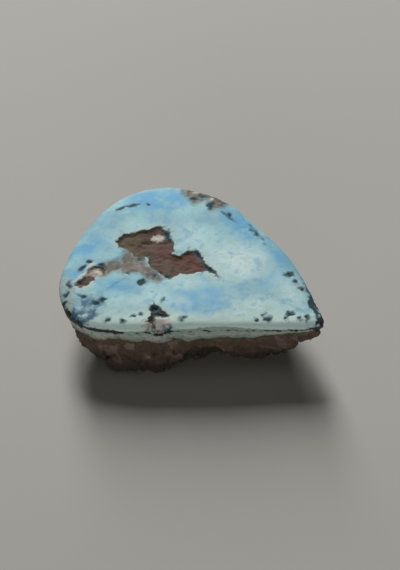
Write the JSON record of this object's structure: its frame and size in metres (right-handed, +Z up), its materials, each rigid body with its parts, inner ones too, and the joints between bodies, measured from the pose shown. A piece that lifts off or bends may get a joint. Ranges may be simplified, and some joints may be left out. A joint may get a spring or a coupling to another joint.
{
  "type": "raw turquoise nugget",
  "caption": "Small pear-shaped raw turquoise nugget, worn smooth and sky blue on top, with a rough back of brown host rock.",
  "frame": {"origin": "on the resting plane, under the middle of the stone's outline", "axes": "+Z up through the worn face, +X along the stone's length to its narrow tip"},
  "size_m": [0.0224, 0.0176, 0.0063],
  "materials": {
    "turquoise": "satin"
  },
  "bodies": {
    "root": {"turquoise_nugget": "turquoise"}
  },
  "joints": []
}
